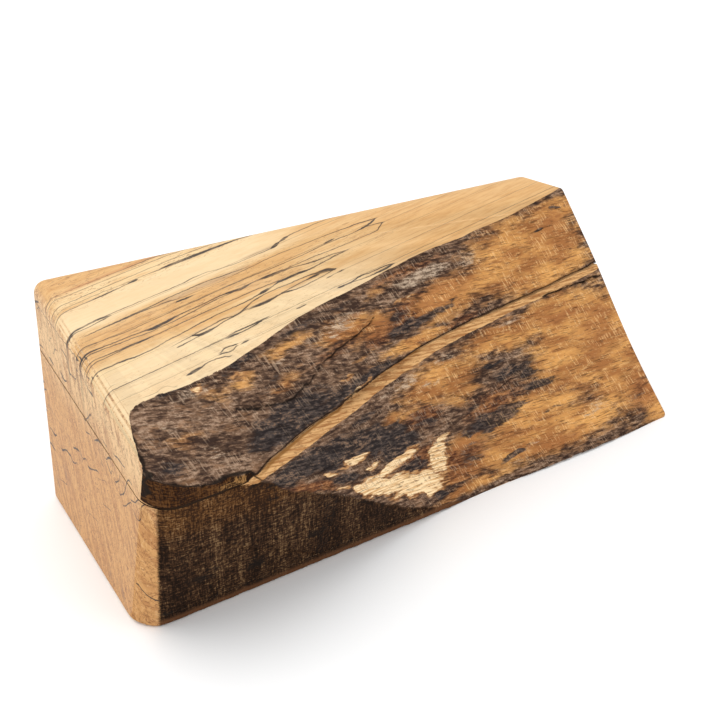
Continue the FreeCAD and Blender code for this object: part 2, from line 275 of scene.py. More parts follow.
# =====================================================================================================
# Finishes
# =====================================================================================================
# Zone lines of the spalting on the top: (u, distance across the grain w, half width) along each line.
ZONE_LINES = [
    [(0, 17.3, .3), (10, 17.1, .15), (35, 17.7, .25), (52, 18.1, .3), (60, 19.8, .2)],
    [(0, 19.1, .2), (15, 19.5, .22), (40, 19.8, .22), (55, 20.2, .25), (70, 21.4, .15)],
    [(0, 23.8, .25), (20, 23.4, .25), (40, 23.2, .22), (60, 23.5, .25), (80, 24.9, .2)],
    [(0, 26.4, .15), (15, 25.6, .2), (24, 25.7, .2), (40, 26.1, .2), (56, 26.4, .7), (73, 27.1, .55),
     (95, 28.5, .2)],
    [(0, 28.2, .28), (10, 27.6, .25), (22, 27.4, .4), (30, 27, .25), (35, 26.6, .6)],
    [(0, 40.4, .55), (8, 39.9, .45), (15, 39.5, .5), (18, 40.1, .2)],
    [(1, 41, .5), (8, 41.4, .25), (14, 40.8, .3), (18, 40.2, .4)],
    [(17, 39.4, .3), (35, 39.3, .25), (50, 39.5, .3), (55, 38.8, .28), (61, 38.9, .22), (66, 40, .25),
     (78, 41.1, .22), (90, 41, .3), (93.5, 40.1, .9), (95.5, 39.3, .35), (97.5, 38.7, .7), (101, 38, .3),
     (110, 37.7, .28), (133, 38.2, .2)],
    [(6, 45.4, .2), (15, 45, .4), (27, 44.9, .5), (40, 44, .3), (55, 43.8, .3), (66, 44.6, .3),
     (76, 45.6, .2)],
    [(27, 45, .3), (40, 45.8, .3), (46, 46.9, .2), (60, 47.2, .15), (75, 46.6, .25), (90, 46, .25),
     (105, 46.6, .25), (120, 47.4, .3), (135, 49.1, .35), (138, 49.8, .3)],
    [(44.5, 48.1, .5), (51, 48.4, .25)],
    [(0, 50.2, .3), (10, 51.2, .3), (25, 52.2, .25), (45, 51.8, .28), (70, 51.6, .28), (95, 52.4, .25),
     (112, 51.9, .3), (125, 52.3, .25), (132, 51.8, .55), (138, 49.8, .3)],
    [(112, 51.3, .5), (115, 51, .4)],
    [(131, 52.2, .25), (136, 52.9, .3), (139, 53.8, .35)],
    [(0, 54.2, .6), (5, 54.5, .45), (15, 55, .3), (24, 55.5, .3), (31, 56.4, .75), (40, 55.5, .45),
     (50, 55.2, .3), (60, 54.9, .35), (69, 56, .65), (75, 55.4, .3), (82, 55.8, .75), (88, 56.2, .6),
     (95, 57.3, .3), (101, 58.6, .4), (110, 59.3, .35), (117, 60.5, .3)],
    [(0, 55.5, .35), (10, 56, .3), (20, 56.8, .3), (30, 57.6, .25), (45, 57, .3), (60, 55.9, .3),
     (68, 56.2, .2)],
    [(88, 56, .3), (100, 56, .28), (110, 56.5, .28), (122, 56.8, .25), (134, 57, .3), (136, 55.8, .35),
     (139, 53.8, .3)],
    [(0, 59.2, .25), (12, 59.7, .35), (21, 60.2, .55), (30, 60.4, .3), (50, 59.8, .3), (65, 59.9, .28),
     (80, 60.3, .3), (88, 61.3, .3)],
    [(0, 60.9, .28), (10, 60.7, .28), (17, 60.3, .3)],
    [(0, 65.4, .35), (8, 66, .35), (14, 66.2, .45), (18, 66.9, .4), (25, 66.8, .3), (32, 65.9, .3),
     (40, 65.3, .3), (50, 64.2, .35), (57, 63.9, .3), (66, 63.9, .35), (73, 63.2, .35), (76, 62.8, .8),
     (80, 62.1, .3), (84, 61.3, .6), (92, 61.4, .65), (98, 61.8, .4), (108, 61, .35), (117, 60.5, .3)],
    [(32, 69.8, .15), (40, 68.9, .3), (48, 68.2, .35), (55, 67.6, .35), (60, 68.5, .3), (65, 67, .4),
     (70, 65.2, .4), (77, 64.4, .3), (86, 64.6, .3), (96, 64.9, .35), (100, 65.9, .7), (103, 66.3, .95),
     (107, 68, .3)],
    [(41, 68.8, .5), (44.5, 70.4, .7), (50, 70, .4), (55, 69, .3), (61, 68.6, .4), (65, 67.8, .3)],
    [(34, 71.5, .4), (38, 71.1, .3), (45, 70.6, .2)],
    [(65, 68.5, .2), (69, 68.7, .6), (73, 68.9, .75), (76.5, 68.6, .5), (82, 67.9, .35), (87, 67.2, .3),
     (93, 66.8, .35), (99, 66.5, .6)],
    [(82, 68, .55), (87, 69.2, .35), (92, 69.3, .3), (99, 68.8, .3), (106, 68, .3)],
    [(102, 70.7, .35), (105, 70.4, .2), (108.5, 70.2, .4)],
    [(40, 77.5, .12), (52, 77.3, .3), (57, 76.9, .4), (66, 77, .45), (71, 76.7, .2)],
    [(52, 77.8, .65), (58, 78.3, .35), (63, 78, .35), (66, 77.4, .5)],
    [(46, 83.8, .3), (48.5, 82.4, .4), (52.5, 83.2, .4)],
    [(46, 84.3, .4), (50, 85.3, .35), (52.5, 83.9, .3)],
    [(55, 84.1, .3), (57, 83.9, .45)],
    [(83, 79.4, .4), (85.5, 79.3, .35)],
    [(31, 87, .5), (34, 86.6, .7), (37, 86.2, .35), (40, 85.4, .3), (46, 86.4, .35), (48, 87.6, .3)],
    [(103, 78.5, .5), (108, 78.6, .35), (114, 77.6, .45), (118, 78.2, .3), (125, 78.3, .4), (129, 79, .3)],
    [(108, 78.8, .3), (117, 79.9, .3), (124.5, 79.8, .6), (129, 79.1, .3)],
    [(2, 76.2, .12), (5, 75.6, .16)],
    [(12, 87.6, .15), (16, 88.2, .2), (20, 87.2, .15), (24, 90, .2)],
]
# Zone lines on the square end: (v, z, half width).
END_LINES = [
    [(5, 89, .5), (9, 91, .35)], [(6, 86.5, .2), (9, 88.5, .3)], [(2, 70, .35), (8, 71.4, .3)],
    [(17, 71.2, .5), (21, 70.4, .25)], [(19, 79.6, .25), (21, 82, .25)], [(22, 75.5, .2), (25, 79.5, .35)],
    [(29, 71.8, .25), (33, 70.6, .5), (36, 71.6, .2)], [(34, 83.6, .3), (38, 83, .45), (41, 77.5, .55)],
    [(43, 78, .25), (48, 79, .35), (50, 84.5, .45)], [(48, 89.5, .3), (49.5, 85, .45), (51.5, 76, .3)],
    [(51, 88.6, .8), (55, 90.5, .6), (57, 92, .3)], [(55, 86, .4), (60, 83, .25), (66, 82.4, .45)],
    [(62, 87, .25), (66, 89, .4), (67, 91, .4)], [(55, 65.8, .5), (58, 68.5, .35), (61.5, 72, .4)],
    [(55, 61, .35), (59, 62.3, .3)], [(64, 62.8, .3), (68, 65, .5), (72, 66, .3)],
    [(69, 62, .3), (70, 57, .35), (71, 56.5, .3)], [(74, 68.4, .25), (77, 68, .3)],
    [(76, 61.8, .3), (79, 64.5, .5), (82, 65.6, .3)], [(76, 61, .25), (80, 58.5, .4), (81, 61, .3)],
    [(85, 57.8, .4), (88, 60.5, .35), (89.5, 63.5, .3)], [(88.5, 55, .35), (93, 58.6, .4), (96.5, 64.6, .45),
                                                          (100, 67.6, .4), (102, 67.4, .2)],
    [(85, 69.2, .25), (90, 70.2, .4), (95, 70.4, .3)], [(91, 51.8, .3), (95, 55, .35), (99, 58.6, .35)],
    [(100, 60, .3), (103, 61, .35), (107, 64.8, .4)], [(101, 56.5, .25), (105, 55, .3), (108.5, 63, .4),
                                                       (110, 64.5, .3)],
    [(37, 43.4, .4), (40, 45, .5), (43, 46, .3)], [(48, 45.2, .4), (51, 47, .3), (53, 45.4, .3)],
    [(54, 45, .45), (58, 46.8, .35), (62, 48.8, .4), (65, 50, .3)], [(64, 46.5, .15), (72, 50.4, .2)],
    [(21, 33, .5), (25, 35.6, .4), (31, 36.6, .45), (34, 35.6, .4), (39, 38, .3)],
    [(8, 35.2, .4), (12, 34.8, .5), (15, 36.4, .3)], [(0.5, 52, .4), (4, 54.6, .6)],
    [(2, 49.8, .4), (7, 52, .3)], [(0.5, 38, .5), (4, 41.5, .45)], [(1, 21, .3), (6, 27, .5), (11, 27, .3)],
    [(68, 38, .2), (75, 40, .25)], [(46, 21, .15), (58, 24, .2)], [(14, 15, .2), (22, 18, .25)],
    [(97, 22, .5), (100, 16, .5), (104, 10.5, .6)],
]
SPAN = 260.0
REACH = 100.0
END_SPAN = 130.0


def spalted_tone(finish, light, warm):
    """Cream and honey wood with soft streaks along the grain."""
    broad = finish.grain(90, 9, detail=3)
    fine = finish.grain(45, 1.1, 3.0, detail=3, rough=0.6)
    pores = finish.grain(9, 0.35, 7.0, detail=2)
    tone = finish.blend(finish.step(broad + (fine - 0.5) * 0.35, 0.36, 0.66), light, warm)
    tone = finish.blend(finish.step(fine, 0.52, 0.78) * 0.35, tone, (0.52, 0.25, 0.09))
    tone = finish.blend(finish.step(pores, 0.58, 0.75) * 0.22, tone, (0.33, 0.17, 0.08))
    return tone, fine, pores


def stray_zones(finish, share=1.0):
    """Zone lines where the fungus ran through wood that nobody has drawn out by hand."""
    field = finish.grain(95, 13, 11.0, detail=3, rough=0.55, distortion=0.35)
    ragged = (finish.grain(1.6, 1.3, 5.0, detail=1) - 0.5) * 0.012
    lines = [finish.step(abs(field + ragged - level), 0.0075, 0.003) for level in (0.44, 0.5, 0.57)]
    infected = finish.step(finish.grain(80, 17, 23.0, detail=2), 0.44, 0.56)
    return finish.largest(lines) * infected * share


def end_grain(f, shake, drift):
    """End grain of the square end: darker and pinker towards the foot, with its own short zone lines."""
    rings = f.noise(f.vector(f.u / 60, (f.v + f.z * 0.45) / 3.2, (f.z - f.v * 0.35) / 26),
                    detail=3, rough=0.6)
    specks = f.noise(f.vector(f.u / 3, f.v / 1.3, f.z / 2.6), detail=4, rough=0.7)
    curl = f.noise(f.vector(f.u / 40, f.v / 8, f.z / 11), detail=4, rough=0.62, distortion=0.8)
    veins = f.largest([f.step(abs(curl - level), 0.011, 0.003) for level in (0.43, 0.50, 0.57)])
    upper = f.step(f.z + (rings - 0.5) * 22, 52, 80)
    tone = f.blend(upper, (0.60, 0.325, 0.130), (0.74, 0.500, 0.260))
    tone = f.blend(f.step(rings, 0.46, 0.62) * 0.6, tone, (0.42, 0.190, 0.075))
    tone = f.blend(f.step(specks, 0.52, 0.66) * 0.55, tone, (0.27, 0.115, 0.048))
    tone = f.blend(f.step(specks, 0.46, 0.32) * 0.45, tone, (0.80, 0.530, 0.270))
    tone = f.blend(veins * f.step(rings, 0.34, 0.52) * 0.8, tone, (0.25, 0.110, 0.050))
    bruise = f.noise(f.vector(f.u / 30, f.v / 7, f.z / 16), detail=3, rough=0.6)
    tone = f.blend(f.step(bruise, 0.6, 0.74) * 0.4, tone, (0.24, 0.165, 0.13))
    lines = f.largest([f.stroke(f.v, f.z + shake * 2.2 + drift * 1.2, line, END_SPAN, REACH)
                       for line in END_LINES])
    lines = lines * f.step(specks, 0.22, 0.42) * 0.95
    return f.blend(lines, tone, (0.050, 0.042, 0.042)), specks


def ripples(f):
    """The small raggedness of real zone lines: a quick shake and a slow drift."""
    shake = (f.noise(f.vector(f.u / 1.3, f.w / 2.5, f.z / 2.5), detail=2) - 0.5) * 0.55
    drift = (f.noise(f.vector(f.u / 7, f.w / 6, f.z / 6), detail=1) - 0.5) * 0.6
    return shake, drift


def planed_spalt():
    """The planed and sanded faces of the billet: spalted long grain on top, end grain on the ends."""
    f = Finish("planed_spalt")
    normal = f.node("ShaderNodeTexCoord", output="Normal")
    sideways = abs(f.node("ShaderNodeSeparateXYZ", {}, {0: normal}, 0))
    tone, fine, pores = spalted_tone(f, (0.72, 0.515, 0.27), (0.63, 0.385, 0.16))

    # Honey-coloured fields of the top, between the drawn lines and towards the skewed end.
    wander = (f.grain(30, 4, 2.0, detail=2) - 0.5) * 5
    w = f.w + wander
    middle = f.window(w, 45, 62, 1.5) * f.step(f.u, 118, 85)
    lens = f.window(w, 64.8, 69, 0.9) * f.window(f.u, 42, 106, 2)
    back_band = f.step(w, 21, 14) * f.step(f.u, 90, 40)
    far = f.step(f.u + wander * 6, 60, 165) * 0.8
    honey = f.largest([middle * 0.75, back_band * 0.9, far, lens * 0.7])
    tone = f.blend(honey, tone, f.blend(f.step(fine, 0.35, 0.7), (0.63, 0.36, 0.135), (0.52, 0.265, 0.085)))
    cream = f.largest([f.window(w, 28, 43, 1.5) * f.step(f.u, 120, 70),
                       f.step(w, 66, 71) * f.step(f.u, 150, 90)])
    tone = f.blend(cream * 0.75, tone, f.blend(fine, (0.77, 0.60, 0.37), (0.72, 0.52, 0.285)))
    rust = f.window(f.w, 16.2, 17.8, 0.8) * f.window(f.u, 8, 60, 6)
    tone = f.blend(rust * 0.55, tone, (0.45, 0.17, 0.05))
    smoke = f.largest([f.window(f.w, 44.2, 46.6, 0.6) * f.window(f.u, 38, 76, 6) * 0.5,
                       f.window(f.w, 39.4, 41, 0.6) * f.window(f.u, 78, 94, 4) * 0.45,
                       f.window(f.w, 26.2, 28, 0.5) * f.window(f.u, 56, 74, 3) * 0.35])
    tone = f.blend(smoke, tone, (0.40, 0.26, 0.15))

    # Fine brown threads along the grain, thickest towards the back and in the honey field.
    strand = f.grain(150, 7, 17.0, detail=4, rough=0.6)
    threads = f.largest([f.step(abs(strand - level), 0.0055, 0.0015)
                         for level in (0.40, 0.455, 0.51, 0.57)])
    laid = f.largest([f.step(f.w, 34, 24), f.window(f.w, 43, 63, 2) * 0.8, f.step(f.w, 66, 74) * 0.35])
    tone = f.blend(threads * laid * f.step(f.u, 190, 90) * 0.75, tone, (0.25, 0.115, 0.045))

    # The drawn zone lines of the top run a little way down over the square end.
    shake, drift = ripples(f)
    ragged = f.w + shake + drift
    drawn = f.largest([f.stroke(f.u, ragged, line, SPAN, REACH) for line in ZONE_LINES])
    depth = TOP_AT_BACK - f.v * 0.1033 - f.z
    drawn = drawn * f.largest([f.step(depth + shake * 5, 7, 3), f.step(depth + shake * 20, 30, 6) * 0.55])
    ink = f.step(f.grain(6, 1.5, 9.0, detail=2), 0.25, 0.55) * 0.35 + 0.62

    # The square end; the skewed end, the back and the underside get stray lines of their own.
    end_face = f.step(sideways, 0.62, 0.9)
    square_end = f.step(f.u, 12, 8)
    end_tone, specks = end_grain(f, shake, drift)
    tone = f.blend(end_face, tone, end_tone)
    on_top = f.step(depth, 6, 3)
    stray = stray_zones(f) * (1 - f.largest([on_top, square_end])) * (1 - end_face * 0.3)
    dark = f.largest([drawn * ink, stray * 0.75])
    tone = f.blend(dark, tone, (0.032, 0.020, 0.014))

    # Painted shade: a dark strip on the lid's planed faces just above the saw cut, where the gap between lid
    # and base lies in shade.
    lid_edge_shade = f.window(f.above_kerf, 0.2, 0.75, 0.25) * f.step(f.v, 92, 60) * (0.55 + shake)
    tone = f.blend(lid_edge_shade, tone, (0.10, 0.045, 0.02))

    relief = fine * 0.5 + pores * 0.3 + specks * end_face * 0.6 - dark * 0.25
    rough = 0.44 + pores * 0.12 + end_face * 0.12
    return f.done(tone, rough, f.bump(relief, 0.10, 0.35), 0.4)


def sawn_cut():
    """Both faces of the saw cut: saw marks across the grain, and painted shade, near black, towards the
    front where they lie in the gap under the lid.
    """
    f = Finish("sawn_cut")
    tone, fine, pores = spalted_tone(f, (0.46, 0.270, 0.120), (0.33, 0.175, 0.068))
    tone = f.blend(stray_zones(f, 0.7), tone, (0.04, 0.025, 0.015))
    marks = f.noise(f.vector(f.u / 0.9, f.v / 60, f.z / 60), detail=2)
    tone = f.blend(f.step(marks, 0.45, 0.7) * 0.4, tone, (0.20, 0.095, 0.035))
    # Painted shade: the saw cut's faces go near black towards the front edge, where they lie in the narrow
    # gap between lid and base.
    gap_shade = f.step(f.v + (fine - 0.5) * 6, 104, 110) * f.step(f.u, 60, 46)
    tone = f.blend(gap_shade * 0.95, tone, (0.020, 0.009, 0.004))
    return f.done(tone, 0.62 + pores * 0.15, f.bump(marks * 0.7 + fine * 0.3, 0.12, 0.4), 0.2)


def saw_face(f):
    """The undercut saw face, fine near-upright scratches crossed by the grain: its tone and its tooth."""
    slant = f.u + f.z * SAW_LEAN
    scratch = f.noise(f.vector(slant / 0.55, f.z / 5, f.v / 30), detail=3, rough=0.6)
    level = f.noise(f.vector(f.u / 4, (f.z + f.u * 0.06) / 0.6, f.v / 30), detail=3, rough=0.6)
    peppered = f.noise(f.vector(f.u / 1.1, f.z / 0.8, f.v / 30), detail=4, rough=0.7)
    bands = f.noise(f.vector(slant / 9, f.z / 70, f.v / 30), detail=2)
    blotch = f.noise(f.vector(f.u / 13, f.z / 8, f.v / 30), detail=4, rough=0.6)
    light = (scratch - 0.5) * 0.7 + (level - 0.5) * 0.6 + (peppered - 0.5) * 0.9 + (bands - 0.5) * 0.5
    # The very dark browns are partly the stained saw face's own colour and partly painted shade of the
    # undercut face, which faces a little downward.
    saw = f.blend(f.step(light, -0.14, 0.14), (0.009, 0.004, 0.002), (0.060, 0.028, 0.013))
    upper = f.step(f.z + (blotch - 0.5) * 30, 38, 58)
    saw = f.blend(upper * 0.7, saw, f.blend(f.step(light, -0.12, 0.16), (0.036, 0.014, 0.005),
                                            (0.175, 0.074, 0.020)))
    saw = f.blend(f.step(light, 0.09, 0.25) * 0.75, saw, (0.245, 0.148, 0.070))
    saw = f.blend(f.step(blotch, 0.59, 0.69) * 0.75, saw, (0.008, 0.006, 0.005))
    saw = f.blend(f.step(f.z, 4.6, 2.2) * 0.75, saw, (0.14, 0.060, 0.026))
    on_lid = f.step(f.above_kerf, -0.1, 0.1)
    saw = f.blend(on_lid * 0.85, saw, f.blend(f.step(light, -0.1, 0.18), (0.015, 0.005, 0.002),
                                              (0.095, 0.036, 0.009)))
    glint = f.window(f.u + (blotch - 0.5) * 20, 24, 41, 4) * f.window(f.above_kerf, 0.3, 3.6, 0.9)
    saw = f.blend(glint * on_lid * f.step(light, -0.12, 0.12) * 0.75, saw, (0.36, 0.190, 0.066))
    return saw, scratch * 0.6 + peppered * 0.5


def weathered_edge():
    """The natural edge: grey and brown weathered wood, charred fields, fresh breaks and the saw face."""
    f = Finish("weathered_edge")
    char, fresh, chalk, gold, red = (f.attribute(n) for n in ("char", "fresh", "chalk", "gold", "red"))
    sawn, raw, crease = (f.attribute(n) for n in ("sawn", "raw", "crease"))
    cloud = f.bark(26, 9, detail=3)
    patch = f.bark(9, 3.4, 2.0, detail=4, rough=0.6)
    mottle = f.bark(3.6, 1.15, 4.0, detail=5, rough=0.62)
    fibre = f.bark(10, 0.8, 8.0, detail=3, rough=0.6)
    grit = f.bark(0.75, 0.5, 12.0, detail=2, rough=0.6)
    gather = f.bark(11, 5, 21.0, detail=2)
    torn = (mottle - 0.5) * 0.8 + (fibre - 0.5) * 0.6
    speckled = mottle + (grit - 0.5) * 0.45

    # Brown ground, mottled dark to tan.
    wash = (cloud - 0.5) * 0.35 + (patch - 0.5) * 0.30
    tone = f.blend(f.step(mottle + wash, 0.36, 0.60), (0.042, 0.023, 0.016), (0.170, 0.098, 0.060))
    tone = f.blend(f.step(speckled + wash, 0.52, 0.72) * 0.8, tone, (0.40, 0.270, 0.182))
    tone = f.blend(f.step(patch, 0.54, 0.68) * 0.55, tone, (0.25, 0.130, 0.066))
    tone = f.blend(f.step(fibre + wash, 0.42, 0.30) * 0.6, tone, (0.030, 0.018, 0.015))
    russet = f.blend(f.step(mottle, 0.40, 0.60), (0.075, 0.026, 0.013), (0.235, 0.092, 0.036))
    russet = f.blend(f.step(speckled, 0.57, 0.70) * 0.7, russet, (0.46, 0.230, 0.090))
    tone = f.blend(f.step(red + torn * 0.7, 0.32, 0.68) * 0.9, tone, russet)

    # Amber wood towards the skewed end, with red-brown clouds in it.
    amber = f.blend(f.step(cloud + (patch - 0.5) * 0.5, 0.34, 0.66),
                    (0.34, 0.138, 0.045), (0.68, 0.340, 0.105))
    amber = f.blend(f.step(patch + torn * 0.4, 0.50, 0.76) * 0.75, amber, (0.17, 0.068, 0.028))
    amber = f.blend(f.step(fibre, 0.48, 0.34) * 0.55, amber, (0.20, 0.080, 0.030))
    amber = f.blend(f.step(speckled, 0.54, 0.70) * 0.45, amber, (0.80, 0.480, 0.200))
    reddened = f.step(red + (patch - 0.5) * 0.6 + torn * 0.4, 0.22, 0.70)
    amber = f.blend(reddened * 0.7, amber, (0.34, 0.130, 0.045))
    in_amber = f.step(gold + (patch - 0.5) * 0.75 + torn * 0.5, 0.26, 0.66)
    tone = f.blend(in_amber, tone, amber)
    chalky = f.step(chalk + torn * 1.1 + (grit - 0.5) * 0.3, 0.48, 0.88) * 0.75
    tone = f.blend(chalky, tone, f.blend(f.step(speckled, 0.42, 0.60),
                                         (0.23, 0.160, 0.108), (0.54, 0.415, 0.300)))

    # Charred fields, blue-black with brown islands; their borders are torn along the grain.
    black = f.step(char + (patch - 0.5) * 0.85 + torn * 0.5, 0.41, 0.60)
    soot = f.blend(f.step(mottle, 0.40, 0.62), (0.019, 0.015, 0.015), (0.072, 0.056, 0.050))
    soot = f.blend(f.step(speckled + wash, 0.54, 0.68) * 0.7, soot, (0.240, 0.140, 0.084))
    tone = f.blend(black * 0.94, tone, soot)

    # Fresh breaks down to pale wood, golden where they run out.
    worn = fresh + (patch - 0.5) * 0.5 + torn * 0.55
    somewhere = f.step(fresh, 0.06, 0.22)
    scorched = f.blend(f.step(mottle, 0.42, 0.6), (0.25, 0.105, 0.040), (0.52, 0.270, 0.105))
    tone = f.blend(f.step(worn, 0.22, 0.38) * somewhere * 0.85, tone, scorched)
    broken = f.step(worn, 0.38, 0.50) * somewhere
    pale = f.blend(f.step(fibre, 0.38, 0.58), (0.64, 0.375, 0.165), (0.93, 0.710, 0.425))
    pale = f.blend(f.step(mottle, 0.58, 0.66) * 0.8, pale, (0.19, 0.080, 0.032))
    tone = f.blend(broken, tone, pale)

    # Light marks across the grain where the rays show, short level cracks and pits.
    rays = f.noise(f.vector((f.u + f.z * 0.5) / 0.5, f.arc / 5, f.v / 12), detail=1)
    ticks = f.step(rays, 0.56, 0.66) * f.step(gather + torn * 0.3, 0.44, 0.58) * (1 - black * 0.6)
    tone = f.blend(ticks * 0.5, tone, f.blend(in_amber, (0.42, 0.290, 0.195), (0.84, 0.520, 0.235)))
    cracks = f.step(f.bark(6, 0.36, 15.0, detail=2), 0.60, 0.67)
    pits = f.largest([cracks * 0.8, f.step(f.bark(2.4, 0.9, 18.0, detail=3, rough=0.7), 0.67, 0.74)])
    tone = f.blend(pits * 0.85, tone, (0.022, 0.013, 0.010))

    saw, saw_tooth = saw_face(f)
    tone = f.blend(sawn, tone, saw)
    # Painted shade: a near-black line along the saw cut at the square-end side, where the gap between lid
    # and base lies in shade.
    seam_shade = f.window(f.above_kerf, -0.6, 0.7, 0.25) * f.step(f.u, 52, 44)
    tone = f.blend(seam_shade * 0.9, tone, (0.012, 0.005, 0.002))

    # End grain carried round the rounded corner.
    shake, drift = ripples(f)
    end_tone, specks = end_grain(f, shake, drift)
    reach = f.u + (grit - 0.5) * 1.6 + f.z * 0.065 + f.step(f.above_kerf, 0.0, 1.5) * 5
    round_corner = f.step(reach, 8.6, 7.2)
    tone = f.blend(round_corner, tone, end_tone)

    # Bright wood where the saw cut ran out; painted shade in the gap between lid and base, golden brown on
    # the top of the band and near black on the lid's lower edge; and dark creases, which hold painted shade
    # in the cracks as well as the dark crust and rim.
    band = f.blend(f.step(fibre, 0.38, 0.60), (0.36, 0.165, 0.058), (0.66, 0.385, 0.165))
    band = f.blend(f.step(speckled, 0.53, 0.66) * 0.55, band, (0.21, 0.088, 0.032))
    tone = f.blend(f.step(raw + torn * 0.5, 0.40, 0.58), tone, band)
    # Painted shade: the top of the bright band, just under the lid's edge, darkened to golden brown.
    slit_shade = f.window(f.above_kerf, -1.25, 0.0, 0.25) * f.window(f.u, 44, 132, 5)
    tone = f.blend(slit_shade * 0.9, tone, (0.235, 0.105, 0.028))
    # Painted shade: the lid's lower edge just above the saw cut, near black.
    lid_edge_shade = f.window(f.above_kerf, 0.0, 1.0, 0.3) * f.step(f.u, 36, 46)
    tone = f.blend(lid_edge_shade * 0.85, tone, (0.020, 0.009, 0.004))
    # Painted shade in the cracks, carried by the crease attribute along with the dark crust and rim.
    tone = f.blend(f.step(crease, 0.25, 0.8) * 0.92, tone, (0.012, 0.008, 0.006))

    bark_tooth = mottle * 0.45 + fibre * 0.45 + grit * 0.15 - pits * 1.1
    tooth = (1 - sawn) * bark_tooth + sawn * saw_tooth
    smooth_parts = f.largest([raw * 0.6, broken * 0.3, round_corner * 0.9])
    return f.done(tone, 0.70 + grit * 0.15, f.bump(tooth * (1 - smooth_parts), 0.30, 0.5), 0.05)


def core_wood(name, light, warm, dark):
    """Wood of the pieces sawn out of the heart of the billet."""
    f = Finish(name)
    tone, fine, pores = spalted_tone(f, light, warm)
    tone = f.blend(stray_zones(f, 0.7), tone, dark)
    marks = f.noise(f.vector(f.u / 12, f.v / 12, f.z / 0.35), detail=2)
    relief = fine * 0.4 + pores * 0.3 + marks * 0.25
    return f.done(tone, 0.46 + pores * 0.12, f.bump(relief, 0.09, 0.35), 0.35)


def suede():
    """Short brown suede glued into the compartments."""
    f = Finish("suede_lining")
    nap = f.noise(f.place, detail=4, rough=0.7, scale=420)
    brushed = f.noise(f.place, detail=2, scale=60)
    tone = f.blend(f.step(nap, 0.3, 0.7), (0.050, 0.018, 0.012), (0.115, 0.045, 0.028))
    tone = f.blend(f.step(brushed, 0.4, 0.7) * 0.35, tone, (0.16, 0.072, 0.048))
    f.shader.inputs["Sheen Weight"].default_value = 0.5
    f.shader.inputs["Sheen Roughness"].default_value = 0.45
    return f.done(tone, 0.92, f.bump(nap, 0.35, 0.6), 0.15)


# =====================================================================================================
# Shaping
# =====================================================================================================


def work_on(piece):
    """Only this piece is selected and active."""
    bpy.ops.object.select_all(action="DESELECT")
    piece.select_set(True)
    bpy.context.view_layer.objects.active = piece


def merged_copy(node, name):
    """The CAD node's mesh as a closed mesh of its own, ready to be worked on."""
    piece = bpy.data.objects.new(name, frame["nodes"][node].data.copy())
    piece.data.materials.clear()
    bpy.context.scene.collection.objects.link(piece)
    work_on(piece)
    bpy.ops.object.mode_set(mode="EDIT")
    bpy.ops.mesh.select_mode(type="VERT")
    bpy.ops.mesh.select_all(action="SELECT")
    bpy.ops.mesh.remove_doubles(threshold=2e-6)
    bpy.ops.mesh.dissolve_limited(angle_limit=math.radians(0.25))
    bpy.ops.object.mode_set(mode="OBJECT")
    return piece


def in_saw_cut(face):
    """Whether a face is one of the two level faces that the saw left between the lid and the base."""
    centre = face.calc_center_median()
    level = kerf((centre.x - SQUARE_END) / MM, (BACK - centre.y) / MM)
    return abs(face.normal.z) > 0.9 and abs(centre.z / MM - level) < 1.0


def mark_faces(piece):
    """Give each face its material: the live edge and the saw face 1, the saw cut 2, the rest 0."""
    work = bmesh.new()
    work.from_mesh(piece.data)
    work.normal_update()
    for face in work.faces:
        face.material_index = 2 if in_saw_cut(face) else 0
    foremost = min(work.faces, key=lambda face: face.calc_center_median().y)
    waiting = [foremost]
    while waiting:
        face = waiting.pop()
        face.material_index = 1
        for edge in face.edges:
            waiting += [other for other in edge.link_faces
                        if other.material_index == 0 and other.normal.y < -0.2]
    work.to_mesh(piece.data)
    work.free()


# The front is cut on a grid of this many millimetres, and each part is then divided again.
GRID = 2.6
CUTS = 3


def refine_front(piece):
    """Cut the front faces on an even grid and divide them finely; the planed faces stay whole."""
    bpy.ops.object.mode_set(mode="EDIT")
    bpy.ops.mesh.select_mode(type="FACE")
    bpy.ops.mesh.select_all(action="DESELECT")
    piece.active_material_index = 1
    bpy.ops.object.material_slot_select()
    bpy.ops.mesh.hide(unselected=True)
    low, high = (Vector(corner) for corner in (piece.bound_box[0], piece.bound_box[6]))
    for axis in (0, 2):
        direction = Vector((1, 0, 0)) if axis == 0 else Vector((0, 0, 1))
        count = int((high[axis] - low[axis]) / (GRID * MM))
        for index in range(1, count + 1):
            point = low + direction * (index * (high[axis] - low[axis]) / (count + 1))
            bpy.ops.mesh.select_all(action="SELECT")
            bpy.ops.mesh.bisect(plane_co=point, plane_no=direction)
    bpy.ops.mesh.select_all(action="SELECT")
    bpy.ops.mesh.quads_convert_to_tris()
    bpy.ops.mesh.subdivide(number_cuts=CUTS)
    bpy.ops.mesh.reveal(select=False)
    bpy.ops.object.mode_set(mode="OBJECT")


